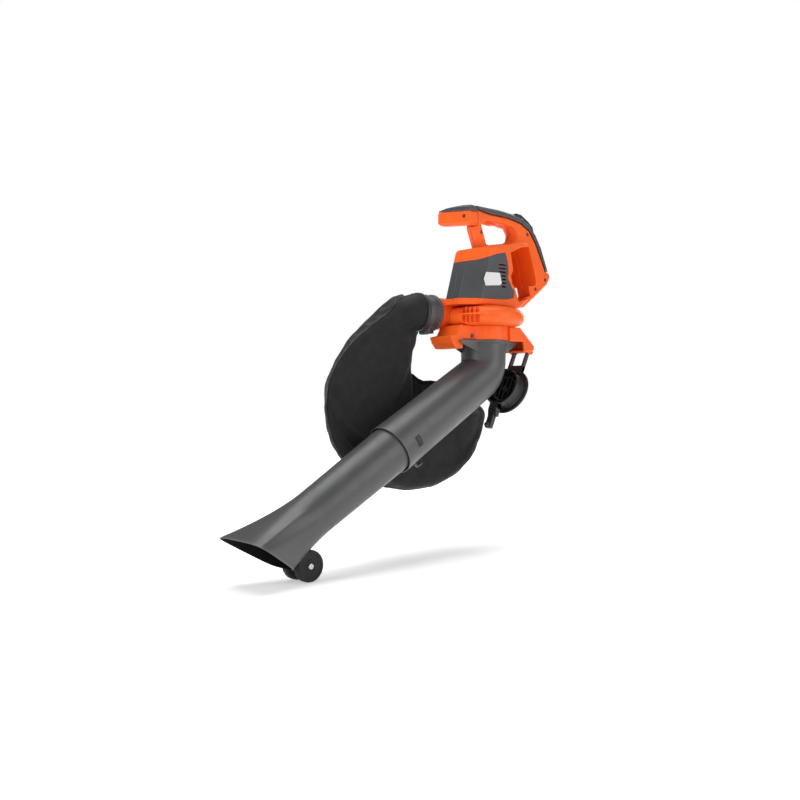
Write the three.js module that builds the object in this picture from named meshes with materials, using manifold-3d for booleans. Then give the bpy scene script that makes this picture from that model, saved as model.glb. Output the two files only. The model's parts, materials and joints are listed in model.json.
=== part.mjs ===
// Cordless leaf blower and vacuum, set up as a vacuum: motor unit, suction tube on wheels
// and collecting bag.
// Millimetres, +Z up. Design frame: fan axis at X = Y = 0, ground at Z = 0, suction tube forward along -X,
// the user's left is -Y. The exported group moves that frame so that the hand grip's middle is the origin.
import * as THREE from "three";
import { mergeVertices } from "three/addons/utils/BufferGeometryUtils.js";
import Module from "manifold-3d";

const wasm = await Module();
wasm.setup();

// ---------------------------------------------------------------- driving dimensions
const GAP = 0.3; // clearance between touching pieces
const WALL = 3; // moulded wall thickness
const GRIP = { x: 28, z: 803 }; // middle of the hand grip
const LOOP_HALF = 20; // half width of the handle loop
const HOUSING_HALF = 48; // half width of the motor and battery housing
const FRONT = { x: -106, z: 601, half: 22, cheek: 49, slope: 0.29 }; // the housing's narrow, leaning front
const VOLUTE = { r: 97, bottom: 541, split: 565, top: 587.5, inlet: 46 };
const DUCT = { y: 60, z: 571, r: 38, front: -116, back: -45 };
const SEAL = { outer: 56, top: 510 };
const BASE = { r: 59, bore: 49, top: VOLUTE.bottom - GAP, bottom: 507 };
const TUBE = { r: 53.5, bore: 50.5, bendR: 55, slope: 30.2, cornerZ: 430, top: BASE.bottom - GAP };
const SLEEVE_END = 348.9; // measured along the sloping axis from the elbow's corner
const LOWER = { start: 290, r: 54, flareStart: 590, flareR: 48.5 };
const MOUTH = {
  backX: -580, backZ: 30, tilt: 31, length: 130, backHalf: 46, frontHalf: 84, bulge: 4, square: 0.42,
};
const WHEEL = { x: -535, z: 32.6, r: 32.5, inner: 11, outer: 29, axle: 4, hubCap: 6 };
const ARCH_R = WHEEL.r + 2.1; // wheel arch pressed into the nozzle's underside
const COVER = { x: 142, z: 484, tilt: 25.5, drop: 110, r: 47, rim: 59, depth: 34 };
const BAG = { near: 66, far: 146, mouth: -155.5 };
const ZIP = { x: -300, bottom: 240, top: 440, slider: 14 };
const MOTOR = { r: 30, bottom: 600, top: 662, shaft: 3, bearing: 8 };
const IMPELLER = { r: 74, blades: 8, top: 574, bottom: 550, hub: 9 };
const VENTS = { x: 3, z: 634, pitch: 8.6, height: 3.6 };
const BAR = { x0: -68, x1: -42, y0: -21, y1: 94, z0: 777, z1: 813, cap: 825, rise: 0.1 }; // the cross handle
const TRIGGER = { x: 31, z: 796 }; // its pin
const RELEASE = { x: -62, z: 516 }; // the button that frees the suction tube
const LOCK = { at: 306, half: 12.5, length: 13 }; // the pad on the left that locks the two tubes
const LATCH = { x: -138, z: 529 }; // the coupler latch's pin
const HOOK = { at: 290, rise: -57.6 }; // its root, along and off the sloping axis

// ---------------------------------------------------------------- materials
const finish = (color, roughness, metalness = 0) => ({ color, roughness, metalness });
const MATERIALS = {
  orange: finish("#f25a1c", 0.42),
  darkGrey: finish("#45474a", 0.5),
  charcoal: finish("#56585a", 0.42),
  black: finish("#202122", 0.6),
  rubber: finish("#191a1b", 0.8),
  fabric: finish("#1d1e20", 0.95),
  label: finish("#e6e6e4", 0.4),
  steel: finish("#a9acb0", 0.3, 1),
  copper: finish("#a8623a", 0.45, 0.6),
  board: finish("#1f5a3a", 0.6),
};

// ---------------------------------------------------------------- solids
function trianglesOf(geometry) {
  const bare = geometry.clone();
  bare.deleteAttribute("normal");
  bare.deleteAttribute("uv");
  const merged = mergeVertices(bare, 1e-3);
  const index = merged.index.array;
  const kept = [];
  for (let i = 0; i < index.length; i += 3) {
    const [a, b, c] = [index[i], index[i + 1], index[i + 2]];
    if (a !== b && b !== c && c !== a) kept.push(a, b, c);
  }
  return { positions: merged.attributes.position.array, index: kept };
}

function signedVolume(positions, index) {
  const corner = [new THREE.Vector3(), new THREE.Vector3(), new THREE.Vector3()];
  let sum = 0;
  for (let i = 0; i < index.length; i += 3) {
    corner.forEach((v, k) => v.fromArray(positions, index[i + k] * 3));
    sum += corner[0].dot(corner[1].clone().cross(corner[2]));
  }
  return sum / 6;
}

// A closed geometry as a solid, with its faces turned outwards.
function solid(geometry) {
  const { positions, index } = trianglesOf(geometry);
  if (signedVolume(positions, index) < 0) index.reverse();
  return new wasm.Manifold(
    new wasm.Mesh({
      numProp: 3,
      vertProperties: Float32Array.from(positions),
      triVerts: Uint32Array.from(index),
    }),
  );
}

const join = (first, ...rest) => rest.reduce((a, b) => a.add(b), first);
const cut = (first, ...rest) => rest.reduce((a, b) => a.subtract(b), first);
const meet = (first, ...rest) => rest.reduce((a, b) => a.intersect(b), first);

function geometryOf(body) {
  const mesh = body.getMesh();
  const geometry = new THREE.BufferGeometry();
  geometry.setAttribute("position", new THREE.BufferAttribute(Float32Array.from(mesh.vertProperties), 3));
  geometry.setIndex(new THREE.BufferAttribute(Uint32Array.from(mesh.triVerts), 1));
  geometry.computeVertexNormals();
  return geometry;
}

// ---------------------------------------------------------------- shapes
const point = ([x, y]) => new THREE.Vector2(x, y);

function extruded(points, depth, bevel = 0, holes = [], bevelSegments = 1) {
  const shape = new THREE.Shape(points.map(point));
  shape.holes = holes.map((hole) => new THREE.Path(hole.map(point)));
  const geometry = new THREE.ExtrudeGeometry(shape, {
    depth: depth - 2 * bevel,
    bevelEnabled: bevel > 0,
    bevelThickness: bevel,
    bevelSize: bevel,
    bevelOffset: -bevel,
    bevelSegments,
    curveSegments: 8,
  });
  return geometry.translate(0, 0, bevel);
}

// Outline in X and Z, running from y0 to y1.
function side(points, y0, y1, bevel = 0, holes = []) {
  return extruded(points, y1 - y0, bevel, holes).rotateX(Math.PI / 2).translate(0, y1, 0);
}

// Outline in X and Y, running from z0 to z1.
function plan(points, z0, z1, bevel = 0) {
  return extruded(points, z1 - z0, bevel).translate(0, 0, z0);
}

const block = (x0, x1, y0, y1, z0, z1) =>
  new THREE.BoxGeometry(x1 - x0, y1 - y0, z1 - z0).translate((x0 + x1) / 2, (y0 + y1) / 2, (z0 + z1) / 2);

const drum = (x, y, z0, z1, r, n = 24) =>
  new THREE.CylinderGeometry(r, r, z1 - z0, n).rotateX(Math.PI / 2).translate(x, y, (z0 + z1) / 2);

const rodY = (x, z, y0, y1, r, n = 16) =>
  new THREE.CylinderGeometry(r, r, y1 - y0, n).translate(x, (y0 + y1) / 2, z);

const rodX = (y, z, x0, x1, r, n = 24) =>
  new THREE.CylinderGeometry(r, r, x1 - x0, n).rotateZ(Math.PI / 2).translate((x0 + x1) / 2, y, z);

// Profile of [radius, height] points turned about the Z axis.
function turned(profile, n = 24) {
  const points = profile.map(point);
  if (profile[0][0] > 0) points.push(points[0].clone());
  return new THREE.LatheGeometry(points, n).rotateX(Math.PI / 2);
}

// A rectangular profile turned about the Z axis: a plain ring.
const ring = (inner, outer, z0, z1, n = 20) =>
  turned([[inner, z0], [outer, z0], [outer, z1], [inner, z1]], n);

// An outline moved outwards by a distance, inwards when it is negative; outlines run anticlockwise.
function grown(points, distance) {
  const count = points.length;
  const turn = THREE.ShapeUtils.area(points.map(point)) > 0 ? 1 : -1;
  return points.map((here, i) => {
    const before = point(points[(i + count - 1) % count]);
    const after = point(points[(i + 1) % count]);
    const into = point(here).sub(before).normalize();
    const away = after.sub(point(here)).normalize();
    const normal = new THREE.Vector2(into.y + away.y, -into.x - away.x).normalize();
    const stretch = Math.max(0.5, normal.x * into.y - normal.y * into.x);
    const move = (turn * distance) / stretch;
    return [here[0] + move * normal.x, here[1] + move * normal.y];
  });
}

// A closed skin through rings of points, capped with a fan at both ends.
function lofted(rings) {
  const count = rings[0].length;
  const middle = (r) => r.reduce((sum, p) => sum.add(p), new THREE.Vector3()).divideScalar(count);
  const last = rings.length - 1;
  const points = [...rings.flat(), middle(rings[0]), middle(rings[last])];
  const index = [];
  for (let i = 0; i < count; i++) {
    const j = (i + 1) % count;
    index.push(last * count + i, last * count + j, points.length - 1);
    index.push(j, i, points.length - 2);
    for (let k = 0; k < last; k++) {
      const [a, b] = [k * count, (k + 1) * count];
      index.push(a + i, a + j, b + j, a + i, b + j, b + i);
    }
  }
  const geometry = new THREE.BufferGeometry().setFromPoints(points);
  return geometry.setIndex(index);
}

// ---------------------------------------------------------------- scene
const machine = new THREE.Group();
machine.position.set(-GRIP.x, 0, -GRIP.z);

function add(name, body, material, parent = machine) {
  const mesh = new THREE.Mesh(geometryOf(body), new THREE.MeshStandardMaterial(MATERIALS[material]));
  mesh.name = name;
  parent.add(mesh);
}

// ---------------------------------------------------------------- motor unit outlines, in X and Z
// The seam between the orange loop and the soft cap on its back, from the front round to the heel.
const SEAM = [
  [-41.7, 817], [2, 812], [67, 811], [93, 808], [119, 803], [150, 788], [173, 761], [197, 721], [213, 692],
];
const LOOP = [
  ...SEAM, [228, 691], [233, 680], [222, 661], [190, 637], [131, 596], [-40, 589], [-48, 700], [-31, 733],
  [-49.6, 776.5], [-41.7, 776.5],
];
const LOOP_HOLE = [
  [-19, 783], [-9, 760], [1, 737], [8, 738.5], [70, 749.5], [86, 757], [91, 774], [84, 787], [56, 792],
  [27, 793], [-2, 793],
];
// The same hole where it opens at the loop's sides, and the space in front of the post at both places.
const HOLE_FLARED = [
  [-30, 785], [-21, 760], [-12, 737], [8, 735], [72, 746], [98, 752], [104, 775], [91, 792], [58, 793.5],
  [27, 794.5], [-8, 794.5],
];
const POST_FRONT = [[-90, 800], [-90, 725], [-29, 725], [-31, 733], [-53, 784.5], [-53, 800]];
const POST_CHAMFER = [[-90, 800], [-90, 725], [-17, 725], [-19, 733], [-41.7, 784.5], [-41.7, 800]];
const FLARE_FROM = 5; // half width of the loop's flat inner face
const CAP = [
  [-41.7, 826], [40, 826], [88, 823], [125, 817], [152, 804], [175, 783], [197, 752], [221.5, 700],
  [225, 693], [205, 690], [190, 700], [150, 765], [110, 795], [-41.7, 800],
];
const HOUSING = [
  [-160, 588], [80, 588], [89, 592], [136, 627], [149, 657], [133, 706], [120, 742], [112, 750], [94, 752],
  [41, 740], [-25, 728], [-60, 722], [-84, 707], [-160, 690],
];
const COVER_SIDE = [
  [-160, 601], [-60, 603], [28, 606], [57, 612], [58, 629], [49, 637], [35, 658], [38, 677], [35, 696],
  [26, 718], [-8, 710], [-55, 694], [-90, 688], [-160, 688],
];
const BAY = [
  [46, 720], [55, 678], [47, 664], [52, 645], [61, 636], [76, 603], [151, 626], [143, 657], [127, 706],
  [114, 742], [90, 739],
];
const SCREWS = [[-28, 765], [141, 779], [210, 672], [172, 645]];
const BOSS_R = 6.5;

// The housing's outer form, moved inwards by a distance: a side outline with a rounded, leaning front.
function housingForm(inset) {
  const half = HOUSING_HALF - inset;
  const bow = [
    [240, -HOUSING_HALF], [240, HOUSING_HALF], [FRONT.x + FRONT.cheek, HOUSING_HALF], [FRONT.x, FRONT.half],
    [FRONT.x, -FRONT.half], [FRONT.x + FRONT.cheek, -HOUSING_HALF],
  ];
  const nose = extruded(grown(bow, -inset), 200);
  const lean = new THREE.Matrix4().set(1, 0, FRONT.slope, 0, 0, 1, 0, 0, 0, 0, 1, 0, 0, 0, 0, 1);
  nose.translate(0, 0, 570 - FRONT.z).applyMatrix4(lean).translate(0, 0, FRONT.z);
  return meet(solid(side(grown(HOUSING, -inset), -half, half, inset ? 0 : 5)), solid(nose));
}

const ductEnvelope = () => solid(rodX(DUCT.y, DUCT.z, DUCT.front - 60, DUCT.back + 0.6, DUCT.r + 0.6, 28));
const motorWell = () => solid(drum(0, 0, 570, 700, 37));
// The loop's inner edges and the post's front flare from a narrow flat to its sides.
function loopFlares(inset) {
  const ringAt = (outline, y) => outline.map(([x, z]) => new THREE.Vector3(x, y, z));
  const pairs = [[LOOP_HOLE, HOLE_FLARED], [POST_FRONT, POST_CHAMFER]];
  const flares = [-1, 1].flatMap((sign) =>
    pairs.map(([narrow, wide]) => {
      const [near, far] = [grown(narrow, inset), grown(wide, inset)];
      const rings = [ringAt(near, sign * (FLARE_FROM - inset)), ringAt(far, sign * (LOOP_HALF + 0.5))];
      return solid(lofted(rings));
    }),
  );
  return cut(join(...flares), housingForm(0));
}

const coverPrism = (extra) => solid(side(grown(COVER_SIDE, extra), -70, 70));

function shellHollow() {
  const half = LOOP_HALF - WALL;
  const loopCore = solid(side(grown(LOOP, -WALL), -half, half, 0, [grown(LOOP_HOLE, WALL)]));
  const room = housingForm(2 * WALL + GAP);
  const bayWalls = solid(side(grown(BAY, WALL), -80, 41));
  const bosses = SCREWS.map(([x, z]) => solid(rodY(x, z, -60, 60, BOSS_R, 16)));
  const ductBlock = solid(block(-130, DUCT.back + 3, 16, 60, 580, 615));
  const core = cut(loopCore, loopFlares(WALL));
  return cut(join(core, room), bayWalls, ductBlock, ...bosses);
}

const ventWindow = () => solid(block(VENTS.x, VENTS.x + 27, -60, -30, VENTS.z, VENTS.z + 56));

function buildShells() {
  const loop = cut(solid(side(LOOP, -LOOP_HALF, LOOP_HALF, 5, [LOOP_HOLE])), loopFlares(0));
  const skin = join(cut(housingForm(0), coverPrism(GAP)), housingForm(WALL + GAP));
  const bay = solid(side(BAY, -80, 38));
  const triggerSlot = solid(block(-24, 37, -6.2, 6.2, 780, 806));
  const pockets = [shellHollow(), bay, motorWell(), ductEnvelope(), ventWindow(), triggerSlot];
  const whole = cut(join(loop, skin), ...pockets);
  const [holes, seats] = [
    SCREWS.map(([x, z]) => solid(rodY(x, z, -60, 16, 2.4, 12))),
    SCREWS.map(([x, z]) => solid(rodY(x, z, -60, -LOOP_HALF + 6, 4.9, 16))),
  ];
  const pinHole = solid(rodY(TRIGGER.x, TRIGGER.z, -13, 13, 2.3, 12));
  const drilled = cut(whole, ...holes, ...seats, pinHole);
  add("left_shell", meet(drilled, solid(block(-400, 400, -90, -GAP / 2, 500, 900))), "orange");
  add("right_shell", meet(drilled, solid(block(-400, 400, GAP / 2, 90, 500, 900))), "orange");
  SCREWS.forEach(([x, z], i) => add(`shell_screw_${i + 1}`, screwY(x, z, -LOOP_HALF + 6 - GAP), "steel"));
}

// A pan-head screw along +Y whose head's inner face sits at y.
function screwY(x, z, y) {
  return join(solid(rodY(x, z, y - 3, y, 4.3, 12)), solid(rodY(x, z, y - 0.5, y + 26, 2, 10)));
}

function buildCovers() {
  const skin = cut(meet(housingForm(0), coverPrism(0)), housingForm(WALL));
  const vents = [0, 1, 2, 3, 4, 5, 6].map((i) => {
    const z = VENTS.z + i * VENTS.pitch;
    return solid(block(z < 668 ? VENTS.x + 10 : VENTS.x, VENTS.x + 27, -60, -40, z, z + VENTS.height));
  });
  const whole = cut(skin, ductEnvelope());
  const [left, right] = [block(-200, 100, -60, -GAP / 2, 590, 730), block(-200, 100, GAP / 2, 60, 590, 730)];
  add("left_motor_cover", cut(meet(whole, solid(left)), ...vents), "darkGrey");
  add("right_motor_cover", meet(whole, solid(right)), "darkGrey");
  const badge = [[-43, 665], [4, 667], [11, 643], [6, 638], [-44.5, 633], [-51, 648]];
  add("side_badge", solid(side(badge, -HOUSING_HALF - 1.6, -HOUSING_HALF - GAP)), "label");
}

// ---------------------------------------------------------------- grip cap, control panel and front handle
const PANEL = [[105, 812], [107, 828], [125, 826.5], [152, 813], [169, 801], [173, 788], [160, 784]];
const BUTTONS = [
  { name: "power_button", at: [138.5, 819.7], facing: [13.5, 27] },
  { name: "boost_button", at: [160.5, 807], facing: [12, 17] },
];

// A round key that stands on the control panel, its length along the panel's normal.
function keyBody({ at, facing }, r, from, to) {
  const normal = new THREE.Vector3(facing[0], 0, facing[1]).normalize();
  const key = new THREE.CylinderGeometry(r, r, to - from, 20).translate(0, (from + to) / 2, 0);
  key.applyQuaternion(new THREE.Quaternion().setFromUnitVectors(new THREE.Vector3(0, 1, 0), normal));
  return solid(key.translate(at[0], 0, at[1]));
}

function buildGripCap() {
  const cap = solid(side(CAP, -LOOP_HALF - 1, LOOP_HALF + 1, 6));
  const loop = solid(side(grown(LOOP, GAP), -40, 40));
  const panel = solid(side(grown(PANEL, GAP), -14.3, 14.3));
  add("handle_grip_cap", cut(cap, loop, panel), "darkGrey");
  const wells = BUTTONS.map((button) => keyBody(button, 5.6, -3.5, 10));
  add("control_panel", cut(solid(side(PANEL, -14, 14, 1.5)), loop, ...wells), "black");
  BUTTONS.forEach((button) => add(button.name, keyBody(button, 5.2, -1.6, 1.4), "darkGrey"));
}

// The cross handle's outline from above, rounded at its free end.
function barOutline(inset) {
  const r = (BAR.x1 - BAR.x0) / 2 - inset;
  const middle = (BAR.x0 + BAR.x1) / 2;
  const shape = new THREE.Path();
  shape.moveTo(middle + r, BAR.y0 + inset);
  shape.lineTo(middle + r, BAR.y1 - inset - r);
  shape.absarc(middle, BAR.y1 - inset - r, r, 0, Math.PI, false);
  shape.lineTo(middle - r, BAR.y0 + inset);
  return shape.getPoints(6).map((p) => [p.x, p.y]);
}

// A geometry sheared so that it rises along +Y, as the cross handle does.
function raised(geometry) {
  const shear = new THREE.Matrix4();
  shear.set(1, 0, 0, 0, 0, 1, 0, 0, 0, BAR.rise, 1, -BAR.rise * BAR.y0, 0, 0, 0, 1);
  return solid(geometry.applyMatrix4(shear));
}

function buildFrontHandle() {
  const [endR, middleZ] = [(BAR.z1 - BAR.z0) / 2, (BAR.z0 + BAR.z1) / 2];
  const end = raised(rodX(BAR.y1 - endR, middleZ, -90, -20, endR, 28));
  const rest = raised(block(-90, -20, -60, BAR.y1 - endR, BAR.z0, BAR.z1));
  const bar = meet(raised(plan(barOutline(0), BAR.z0, BAR.z1, 6)), join(end, rest));
  const seat = solid(rodX(0, 800, -80, BAR.x0 + 5, 5, 16));
  const hole = solid(rodX(0, 800, -80, -20, 2.4, 12));
  add("front_handle", cut(bar, seat, hole), "orange");
  const cap = raised(plan(barOutline(1), BAR.z1 - 6, BAR.cap, 5));
  const under = raised(plan(grown(barOutline(0), GAP), BAR.z0, BAR.z1 + GAP, 6));
  const crown = [[-90, 808], [120, 808], [96, 811], [60, 819], [10, BAR.cap], [-90, BAR.cap]];
  const taper = raised(extruded(crown, 90).rotateX(Math.PI / 2).rotateZ(Math.PI / 2).translate(-90, 0, 0));
  add("front_handle_cap", meet(cut(cap, under, end), taper), "darkGrey");
  const head = solid(rodX(0, 800, BAR.x0 + 2, BAR.x0 + 4.7, 4.4, 14));
  add("front_handle_screw", join(head, solid(rodX(0, 800, BAR.x0 + 4, BAR.x1 - 2, 2, 10))), "steel");
}

// ---------------------------------------------------------------- trigger
function buildTrigger() {
  const blade = [[-21, 789.5], [24, 787.5], [33, 791], [35.5, 796], [33, 799.5], [20, 800], [-21, 797]];
  const bore = solid(rodY(TRIGGER.x, TRIGGER.z, -13, 13, 2.3, 12));
  add("trigger", cut(solid(side(blade, -5.5, 5.5, 1.5)), bore), "orange");
  add("trigger_pin", solid(rodY(TRIGGER.x, TRIGGER.z, -12, 12, 2, 12)), "steel");
  add("trigger_switch", solid(block(-20, -3, -5, 5, 802.6, 805.6)), "black");
  add("trigger_spring", coil(9, 0, 800.5, 805.5, 2.8, 0.45, 3), "steel");
}

class Helix extends THREE.Curve {
  constructor(r, height, turns) {
    super();
    Object.assign(this, { r, height, turns });
  }
  getPoint(t, target = new THREE.Vector3()) {
    const angle = t * this.turns * 2 * Math.PI;
    return target.set(this.r * Math.cos(angle), this.r * Math.sin(angle), this.height * t);
  }
}

// A compression spring standing along Z.
function coil(x, y, z0, z1, r, wire, turns) {
  const section = new THREE.Shape(new THREE.EllipseCurve(0, 0, wire, wire).getPoints(5).slice(0, 5));
  const path = new Helix(r, z1 - z0 - 2 * wire, turns);
  const wound = new THREE.ExtrudeGeometry(section, { steps: turns * 10, extrudePath: path });
  return solid(wound.translate(x, y, z0 + wire));
}

// ---------------------------------------------------------------- battery bay and electronics
function buildElectronics() {
  const slots = [0, 1, 2, 3].map((i) => solid(block(81 + i * 5, 83 + i * 5, -20, 22, 612, 640)));
  add("battery_terminals", cut(solid(block(78, 101, 6, 37.7, 613, 629)), ...slots), "black");
  for (const [name, z] of [["battery_rail_lower", 660], ["battery_rail_upper", 692]]) {
    add(name, solid(block(60, 118, 31, 37.7, z, z + 5)), "orange");
  }
  add("controller_board", solid(block(-72, -69.5, -20, 15, 612, 668)), "board");
  add("controller_heatsink", solid(block(-69.2, -60, -16, 10, 618, 660)), "steel");
}

// ---------------------------------------------------------------- motor and fan
function buildMotor() {
  const well = VOLUTE.top + GAP;
  const mount = [
    [MOTOR.bearing + GAP, well], [36, well], [36, 593], [34, MOTOR.bottom - 4.3],
    [MOTOR.bearing + GAP, MOTOR.bottom - 4.3],
  ];
  add("motor_mount", solid(turned(mount, 20)), "steel");
  add("lower_bearing", solid(ring(MOTOR.shaft + GAP, MOTOR.bearing, well + 1, MOTOR.bottom - 5)), "steel");
  add("motor_stator", solid(ring(18, MOTOR.r, MOTOR.bottom - 4, 645)), "copper");
  const bell = [
    [20, 645.3], [MOTOR.r, 645.3], [MOTOR.r, 656], [24, MOTOR.top], [5, MOTOR.top], [5, 660.3],
    [MOTOR.bearing + GAP, 660.3],
    [MOTOR.bearing + GAP, 652], [20, 652],
  ];
  add("motor_end_bell", solid(turned(bell, 20)), "steel");
  add("upper_bearing", solid(ring(MOTOR.shaft + GAP, MOTOR.bearing, 653, 660)), "steel");
  const rotor = [
    [0, 552], [MOTOR.shaft, 552], [MOTOR.shaft, 602], [17, 602], [17, 640], [MOTOR.shaft, 640],
    [MOTOR.shaft, 661], [0, 661],
  ];
  add("rotor_shaft", solid(turned(rotor, 16)), "steel");
}

function bladeShape(turn) {
  const arc = (r, twist) => [r * Math.cos(turn + twist), r * Math.sin(turn + twist)];
  const rows = [0, 0.33, 0.66, 1].map((t) => [IMPELLER.hub - 1 + t * (IMPELLER.r - IMPELLER.hub), t * 0.7]);
  const leading = rows.map(([r, twist]) => arc(r, twist));
  const trailing = rows.map(([r, twist]) => arc(r, twist + 2.4 / r)).reverse();
  return [...leading, ...trailing];
}

function buildImpeller() {
  const plate = [
    [MOTOR.shaft + GAP, 561], [IMPELLER.hub, 561], [IMPELLER.hub, 571], [IMPELLER.r, 571],
    [IMPELLER.r, IMPELLER.top],
    [IMPELLER.hub, IMPELLER.top], [IMPELLER.hub, 579], [MOTOR.shaft + GAP, 579],
  ];
  const blades = [];
  for (let i = 0; i < IMPELLER.blades; i++) {
    const turn = (i * 2 * Math.PI) / IMPELLER.blades;
    blades.push(solid(plan(bladeShape(turn), IMPELLER.bottom + 4, 571.5)));
  }
  add("impeller", join(solid(turned(plate)), ...blades), "charcoal");
  const nutBore = (MOTOR.shaft + GAP) / Math.cos(Math.PI / 6);
  add("impeller_nut", solid(ring(nutBore, 6.8, 553, 560.7, 6)), "steel");
}

function voluteForm(inset) {
  const profile = [
    [0, VOLUTE.bottom + inset], [78, VOLUTE.bottom + inset], [90 - inset, 545 + inset * 0.6],
    [VOLUTE.r - inset, 553],
    [VOLUTE.r - inset, 569], [89 - inset, 579 - inset * 0.5], [76 - inset, 584.5 - inset],
    [60, VOLUTE.top - inset], [0, VOLUTE.top - inset],
  ];
  return solid(turned(profile, 28));
}

function buildFanHousing() {
  const duct = (x0, x1, r) => solid(rodX(DUCT.y, DUCT.z, x0, x1, r, 28));
  const outer = join(voluteForm(0), duct(DUCT.front, DUCT.back, DUCT.r));
  const inner = join(voluteForm(WALL), duct(DUCT.front - 5, DUCT.back + 0.5, DUCT.r - WALL));
  const mouth = solid(drum(0, 0, 530, 550, VOLUTE.inlet, 28));
  const shaftHole = solid(drum(0, 0, 575, 600, 13, 20));
  const finArc = [...Array(9).keys()].map((i) => {
    const angle = THREE.MathUtils.degToRad(-170 + i * 6.6);
    return [104 * Math.cos(angle), 104 * Math.sin(angle)];
  });
  const fin = solid(plan([...finArc, [-40, -78], [-85, -15]], VOLUTE.split - 2, VOLUTE.split + 2));
  const whole = cut(join(outer, cut(fin, inner)), inner, mouth, shaftHole);
  const above = solid(block(-200, 200, -200, 200, VOLUTE.split + GAP / 2, 640));
  const below = solid(block(-200, 200, -200, 200, 480, VOLUTE.split - GAP / 2));
  add("upper_fan_housing", meet(whole, above), "orange");
  add("lower_fan_housing", meet(whole, below), "orange");
}

// ---------------------------------------------------------------- inlet base with its feet
const REAR_FOOT = [[40, 540.7], [79, 540.7], [131, 498], [131, 487], [93, 481], [90, 506.7], [40, 506.7]];
const REAR_POCKET = [[85, 485.5], [125, 491.5], [125, 498], [80, 535.5], [66, 535.5], [66, 510], [85, 510]];
const FRONT_FOOT = [
  [-40, 540.7], [-96, 540.7], [-110, 517], [-133, 512], [-126, 497], [-115, 485], [-92, 485],
  [-92, 506.7], [-40, 506.7],
];
const FRONT_POCKET = [
  [-88, 489.5], [-117, 489.5], [-124, 500], [-124, 506], [-106, 511], [-96, 528], [-66, 528],
  [-66, 510], [-88, 510],
];
const LUG = [[118, 497], [118, 488], [139, 478], [146, 478], [149, 484], [146, 490], [131, 497]];

function buildInletBase() {
  const throat = solid(ring(BASE.bore, BASE.r, BASE.bottom, BASE.top, 24));
  const bore = solid(drum(0, 0, 480, 560, BASE.bore + 2, 24));
  const rear = cut(solid(side(REAR_FOOT, -50, 50, 2)), solid(side(REAR_POCKET, -46, 46)), bore);
  const frontPocket = solid(side(FRONT_POCKET, -18, 46));
  const front = cut(solid(side(FRONT_FOOT, -22, 50, 2)), frontPocket, bore, ductEnvelope());
  const lugs = [-31, 25].map((y) => solid(side(LUG, y, y + 6)));
  const pinBore = solid(rodY(COVER.x, COVER.z, -40, 40, 2.8, 12));
  const buttonHole = solid(rodY(RELEASE.x, RELEASE.z, -30, -9.5, 5.4));
  const sealSeat = solid(ring(BASE.bore - 3, SEAL.outer + GAP, BASE.bottom - 5, SEAL.top + GAP));
  add("inlet_base", cut(join(throat, rear, front, ...lugs), pinBore, buttonHole, sealSeat), "orange");
  add("tube_release_button", solid(rodY(RELEASE.x, RELEASE.z, -23.5, -12, 5)), "darkGrey");
  add("inlet_seal", solid(ring(BASE.bore, SEAL.outer, BASE.bottom, SEAL.top)), "rubber");
}

// ---------------------------------------------------------------- suction tubes
const SLOPE = THREE.MathUtils.degToRad(TUBE.slope);
const AXIS = new THREE.Vector3(-Math.cos(SLOPE), 0, -Math.sin(SLOPE));
const RISE = new THREE.Vector3(-Math.sin(SLOPE), 0, Math.cos(SLOPE));
const ACROSS = new THREE.Vector3(0, 1, 0);
const CORNER = new THREE.Vector3(0, 0, TUBE.cornerZ);
const alongTube = (s, rise = 0, y = 0) =>
  CORNER.clone().addScaledVector(AXIS, s).addScaledVector(RISE, rise).addScaledVector(ACROSS, y);

// A geometry made about Z laid along the sloping tube axis, its Z = 0 at the elbow's corner.
function laid(geometry) {
  return geometry.applyMatrix4(new THREE.Matrix4().makeBasis(RISE, ACROSS, AXIS).setPosition(CORNER));
}

class Elbow extends THREE.Curve {
  getPoint(t, target = new THREE.Vector3()) {
    const angle = t * (Math.PI / 2 - SLOPE);
    const tangentLength = TUBE.bendR * Math.tan((Math.PI / 2 - SLOPE) / 2);
    const startZ = TUBE.cornerZ + tangentLength;
    return target.set(-TUBE.bendR * (1 - Math.cos(angle)), 0, startZ - TUBE.bendR * Math.sin(angle));
  }
}

function elbow(r) {
  const circle = new THREE.EllipseCurve(0, 0, r, r).getPoints(24).slice(0, 24);
  return solid(new THREE.ExtrudeGeometry(new THREE.Shape(circle), { steps: 6, extrudePath: new Elbow() }));
}

const ELBOW_REACH = TUBE.bendR * Math.tan((Math.PI / 2 - SLOPE) / 2);

function buildUpperTube() {
  const collarEnd = TUBE.cornerZ + ELBOW_REACH;
  const sleeve = [
    [0, ELBOW_REACH - 0.2], [TUBE.r, ELBOW_REACH - 0.2], [57, 300], [58.4, SLEEVE_END], [0, SLEEVE_END],
  ];
  const socket = [
    [0, ELBOW_REACH - 0.5], [TUBE.bore, ELBOW_REACH - 0.5], [TUBE.bore, 282], [56, 286], [56, 360],
    [0, 360],
  ];
  const outer = join(
    solid(drum(0, 0, collarEnd - 0.2, TUBE.top, TUBE.r, 24)),
    solid(drum(0, 0, TUBE.top - 6, TUBE.top, 61, 24)),
    elbow(TUBE.r),
    solid(laid(turned(sleeve))),
    ...[-28, 28].flatMap((y) => [-1, 1].map((end) => tubeEar(y, end))),
  );
  const inner = join(
    solid(drum(0, 0, collarEnd - 0.5, TUBE.top + 5, TUBE.bore, 24)),
    elbow(TUBE.bore),
    solid(laid(turned(socket))),
  );
  const lockHole = lockBody(LOCK.half + 0.7, LOCK.length / 2 + 0.7, 40, 70);
  add("upper_tube", cut(outer, inner, lockHole), "charcoal");
  add("tube_lock_button", lockBody(LOCK.half, LOCK.length / 2, 52.8, 59.2), "black");
}

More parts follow.
